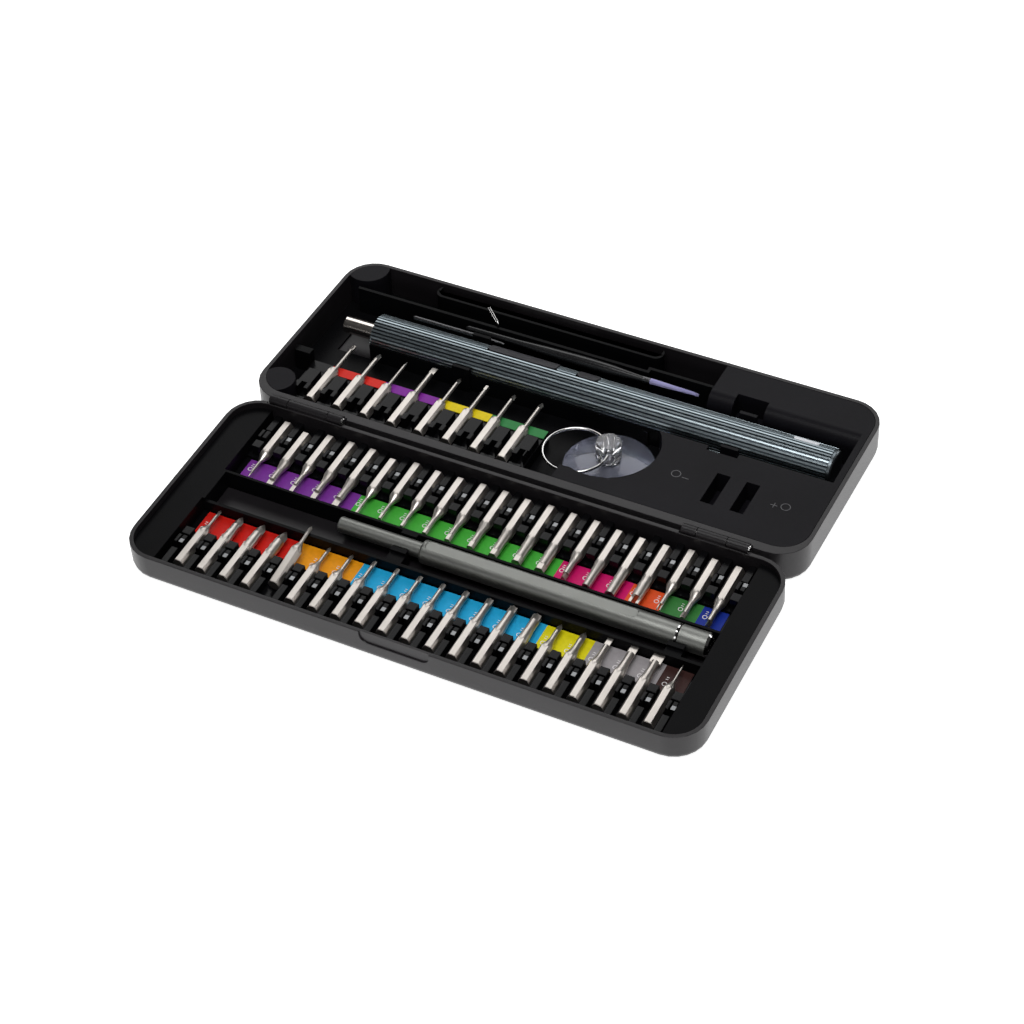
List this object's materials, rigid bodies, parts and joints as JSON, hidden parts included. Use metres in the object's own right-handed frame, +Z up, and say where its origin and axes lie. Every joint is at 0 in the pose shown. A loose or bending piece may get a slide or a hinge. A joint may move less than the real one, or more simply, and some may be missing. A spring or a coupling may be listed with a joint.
{
  "type": "precision screwdriver set",
  "caption": "Hinged two-half case of small driver bits with a powered driver, a hand driver, a bit magnetiser block, a suction cup and small repair tools.",
  "frame": {"origin": "centre of the case's bounding box, on the surface that the open case rests on", "axes": "+X along the hinge to the driver's charge window end, +Y from the hinge towards the deep half, +Z up"},
  "size_m": [0.215, 0.1726, 0.0164],
  "materials": {
    "case_black": "moulded case, fine satin grain",
    "tray_black": "inner tray moulding, satin",
    "rack_black": "rack and small tool plastic, semi-gloss",
    "block_black": "block and corner pads, fine matt grain",
    "label_print": "printed colour strip, one colour zone per bit family",
    "bit_steel": "hardened bit steel, satin ground",
    "magnet": "nickel-plated magnet",
    "hinge_steel": "plain steel pin",
    "driver_aluminium": "grey-blue anodised, long ribs",
    "driver_cap": "darker anodised end",
    "chuck_steel": "bright turned steel",
    "button_rubber": "soft-touch button",
    "light_pipe": "white translucent window",
    "motor_can": "plated can",
    "battery_wrap": "shrink wrap",
    "board_green": "solder mask",
    "pen_aluminium": "dark anodised, satin",
    "bright_trim": "bright plated steel",
    "cup_clear": "clear soft plastic with a faint blue tint",
    "bristle_violet": "fine translucent bristles",
    "probe_dark": "dark slim tool"
  },
  "bodies": {
    "case": {"rear_shell": "case_black", "rear_tray": "tray_black", "long_rack": "rack_black", "long_label": "label_print", "utility_block": "block_black", "magnetiser_magnet": "magnet", "demagnetiser_magnet": "magnet", "rear_closure_magnets": "magnet", "corner_pads": "block_black", "hinge_pins": "hinge_steel"},
    "lid": {"front_shell": "case_black", "front_insert": "tray_black", "hinge_row_rack": "rack_black", "front_row_rack": "rack_black", "hinge_row_label": "label_print", "front_row_label": "label_print", "front_closure_magnets": "magnet"},
    "driver": {"driver_body": "driver_aluminium", "driver_tail": "driver_cap", "charge_indicator": "light_pipe", "driver_motor": "motor_can", "driver_battery": "battery_wrap", "driver_board": "board_green"},
    "chuck": {"driver_chuck": "chuck_steel", "chuck_magnet": "magnet"},
    "rocker": {"rocker_button": "button_rubber"},
    "light_switch": {"light_button": "button_rubber"},
    "pen": {"pen_barrel": "pen_aluminium", "pen_nose": "pen_aluminium", "pen_collar": "bright_trim", "pen_swivel_pin": "hinge_steel"},
    "pen_end": {"pen_cap": "pen_aluminium"},
    "cup": {"suction_cup": "cup_clear", "suction_knob": "cup_clear"},
    "ring": {"key_ring": "bright_trim"},
    "brush": {"brush_handle": "rack_black", "brush_ferrule": "motor_can", "brush_bristles": "bristle_violet"},
    "pry_tool": {"pry_tool_ends": "rack_black", "pry_tool_rod": "bright_trim"},
    "pin": {"tray_pin": "bright_trim"},
    "probe": {"hook_probe": "probe_dark"},
    "long_bits_red_set": {"long_bits_red": "bit_steel"},
    "long_bits_purple_set": {"long_bits_purple": "bit_steel"},
    "long_bits_yellow_set": {"long_bits_yellow": "bit_steel"},
    "long_bit_green_one": {"long_bit_green": "bit_steel"},
    "short_bits_purple_set": {"short_bits_purple": "bit_steel"},
    "short_bits_green_set": {"short_bits_green": "bit_steel"},
    "short_bits_magenta_set": {"short_bits_magenta": "bit_steel"},
    "short_bits_orange_set": {"short_bits_orange": "bit_steel"},
    "short_bit_dark_green_one": {"short_bit_dark_green": "bit_steel"},
    "short_bit_blue_one": {"short_bit_blue": "bit_steel"},
    "short_bits_red_set": {"short_bits_red": "bit_steel"},
    "short_bits_amber_set": {"short_bits_amber": "bit_steel"},
    "short_bit_loose_one": {"short_bit_loose": "bit_steel"},
    "short_bits_cyan_set": {"short_bits_cyan": "bit_steel"},
    "short_bits_yellow_set": {"short_bits_yellow": "bit_steel"},
    "short_bits_grey_set": {"short_bits_grey": "bit_steel"},
    "short_bit_brown_one": {"short_bit_brown": "bit_steel"}
  },
  "joints": [
    {"name": "lid_hinge", "type": "hinge", "parent": "case", "child": "lid", "pos_m": [0, -0.00002, 0.01415], "axis": [1, 0, 0], "range_deg": [-181.86, 0]},
    {"name": "driver_lift", "type": "slide", "parent": "case", "child": "driver", "axis": [0, 0, 1], "range_m": [0, 0.06]},
    {"name": "chuck_spin", "type": "hinge", "parent": "driver", "child": "chuck", "pos_m": [-0.089, 0.05418, 0.0087], "axis": [1, 0, 0], "continuous": true},
    {"name": "rocker_press", "type": "slide", "parent": "driver", "child": "rocker", "axis": [0, -0.3907, -0.9205], "range_m": [0, 0.0003], "stiffness_N_per_m": 300},
    {"name": "light_press", "type": "slide", "parent": "driver", "child": "light_switch", "axis": [0, -0.3907, -0.9205], "range_m": [0, 0.0003], "stiffness_N_per_m": 300},
    {"name": "pen_lift", "type": "slide", "parent": "lid", "child": "pen", "axis": [0, -0.0324, 0.9995], "range_m": [0, 0.05]},
    {"name": "pen_cap_spin", "type": "hinge", "parent": "pen", "child": "pen_end", "pos_m": [0.088, -0.04135, 0.00826], "axis": [1, 0, 0], "continuous": true},
    {"name": "cup_lift", "type": "slide", "parent": "case", "child": "cup", "axis": [0, 0, 1], "range_m": [0, 0.05]},
    {"name": "ring_swing", "type": "hinge", "parent": "cup", "child": "ring", "pos_m": [0.024, 0.02968, 0.009], "axis": [-0.3469, 0.9379, 0], "range_deg": [0, 110]},
    {"name": "brush_lift", "type": "slide", "parent": "case", "child": "brush", "axis": [0, 0, 1], "range_m": [0, 0.045]},
    {"name": "pry_tool_lift", "type": "slide", "parent": "case", "child": "pry_tool", "axis": [0, 0, 1], "range_m": [0, 0.035]},
    {"name": "pin_lift", "type": "slide", "parent": "case", "child": "pin", "axis": [0, 0, 1], "range_m": [0, 0.03]},
    {"name": "probe_lift", "type": "slide", "parent": "case", "child": "probe", "axis": [0, 0, 1], "range_m": [0, 0.04]},
    {"name": "long_bits_red_lift", "type": "slide", "parent": "case", "child": "long_bits_red_set", "axis": [0, 0, 1], "range_m": [0, 0.03]},
    {"name": "long_bits_purple_lift", "type": "slide", "parent": "case", "child": "long_bits_purple_set", "axis": [0, 0, 1], "range_m": [0, 0.03]},
    {"name": "long_bits_yellow_lift", "type": "slide", "parent": "case", "child": "long_bits_yellow_set", "axis": [0, 0, 1], "range_m": [0, 0.03]},
    {"name": "long_bit_green_lift", "type": "slide", "parent": "case", "child": "long_bit_green_one", "axis": [0, 0, 1], "range_m": [0, 0.03]},
    {"name": "short_bits_purple_lift", "type": "slide", "parent": "lid", "child": "short_bits_purple_set", "axis": [0, -0.0324, 0.9995], "range_m": [0, 0.025]},
    {"name": "short_bits_green_lift", "type": "slide", "parent": "lid", "child": "short_bits_green_set", "axis": [0, -0.0324, 0.9995], "range_m": [0, 0.025]},
    {"name": "short_bits_magenta_lift", "type": "slide", "parent": "lid", "child": "short_bits_magenta_set", "axis": [0, -0.0324, 0.9995], "range_m": [0, 0.025]},
    {"name": "short_bits_orange_lift", "type": "slide", "parent": "lid", "child": "short_bits_orange_set", "axis": [0, -0.0324, 0.9995], "range_m": [0, 0.025]},
    {"name": "short_bit_dark_green_lift", "type": "slide", "parent": "lid", "child": "short_bit_dark_green_one", "axis": [0, -0.0324, 0.9995], "range_m": [0, 0.025]},
    {"name": "short_bit_blue_lift", "type": "slide", "parent": "lid", "child": "short_bit_blue_one", "axis": [0, -0.0324, 0.9995], "range_m": [0, 0.025]},
    {"name": "short_bits_red_lift", "type": "slide", "parent": "lid", "child": "short_bits_red_set", "axis": [0, -0.0324, 0.9995], "range_m": [0, 0.025]},
    {"name": "short_bits_amber_lift", "type": "slide", "parent": "lid", "child": "short_bits_amber_set", "axis": [0, -0.0324, 0.9995], "range_m": [0, 0.025]},
    {"name": "short_bit_loose_lift", "type": "slide", "parent": "lid", "child": "short_bit_loose_one", "axis": [0, -0.0324, 0.9995], "range_m": [0, 0.025]},
    {"name": "short_bits_cyan_lift", "type": "slide", "parent": "lid", "child": "short_bits_cyan_set", "axis": [0, -0.0324, 0.9995], "range_m": [0, 0.025]},
    {"name": "short_bits_yellow_lift", "type": "slide", "parent": "lid", "child": "short_bits_yellow_set", "axis": [0, -0.0324, 0.9995], "range_m": [0, 0.025]},
    {"name": "short_bits_grey_lift", "type": "slide", "parent": "lid", "child": "short_bits_grey_set", "axis": [0, -0.0324, 0.9995], "range_m": [0, 0.025]},
    {"name": "short_bit_brown_lift", "type": "slide", "parent": "lid", "child": "short_bit_brown_one", "axis": [0, -0.0324, 0.9995], "range_m": [0, 0.025]}
  ]
}
